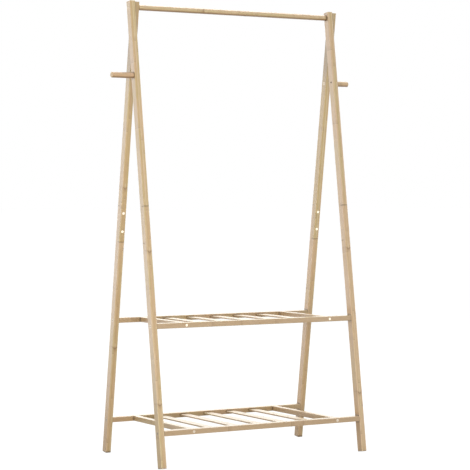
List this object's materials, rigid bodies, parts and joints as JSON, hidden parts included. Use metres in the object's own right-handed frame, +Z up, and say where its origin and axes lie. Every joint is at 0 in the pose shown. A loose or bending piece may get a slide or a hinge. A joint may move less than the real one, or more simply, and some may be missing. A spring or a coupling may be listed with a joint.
{
  "type": "clothes rack",
  "caption": "Freestanding bamboo clothes rack with crossed-leg end frames, a hanging rod, side pegs and slatted shoe shelves.",
  "frame": {"origin": "on the floor, midway between the two end frames and between the front and rear feet", "axes": "+Z up, +X to the right along the hanging rod seen from the front, -Y to the front"},
  "size_m": [0.962, 0.4556, 1.5],
  "materials": {
    "leg_bamboo": "clear satin lacquer",
    "round_bamboo": "clear satin lacquer",
    "shelf_bamboo": "clear satin lacquer",
    "bolt_steel": "nickel plated",
    "sleeve_brass": "plain turned"
  },
  "bodies": {
    "root": {"end_bar_screws": "bolt_steel", "hanging_rod": "round_bamboo", "lap_bolts": "bolt_steel", "lap_sleeves": "sleeve_brass", "leg_lower_front_left": "leg_bamboo", "leg_lower_front_right": "leg_bamboo", "leg_lower_rear_left": "leg_bamboo", "leg_lower_rear_right": "leg_bamboo", "leg_upper_front_left": "leg_bamboo", "leg_upper_front_right": "leg_bamboo", "leg_upper_rear_left": "leg_bamboo", "leg_upper_rear_right": "leg_bamboo", "lower_shelf_end_bar_left": "shelf_bamboo", "lower_shelf_end_bar_right": "shelf_bamboo", "lower_shelf_front_rail": "shelf_bamboo", "lower_shelf_rear_rail": "shelf_bamboo", "lower_shelf_slat_1": "shelf_bamboo", "lower_shelf_slat_2": "shelf_bamboo", "lower_shelf_slat_3": "shelf_bamboo", "lower_shelf_slat_4": "shelf_bamboo", "lower_shelf_slat_5": "shelf_bamboo", "peg_bolts": "bolt_steel", "peg_left": "round_bamboo", "peg_right": "round_bamboo", "peg_sleeves": "sleeve_brass", "rail_bolts": "bolt_steel", "rail_sleeves": "sleeve_brass", "rod_bolts": "bolt_steel", "rod_sleeves": "sleeve_brass", "upper_shelf_end_bar_left": "shelf_bamboo", "upper_shelf_end_bar_right": "shelf_bamboo", "upper_shelf_front_rail": "shelf_bamboo", "upper_shelf_rear_rail": "shelf_bamboo", "upper_shelf_slat_1": "shelf_bamboo", "upper_shelf_slat_2": "shelf_bamboo", "upper_shelf_slat_3": "shelf_bamboo", "upper_shelf_slat_4": "shelf_bamboo", "upper_shelf_slat_5": "shelf_bamboo"}
  },
  "joints": []
}
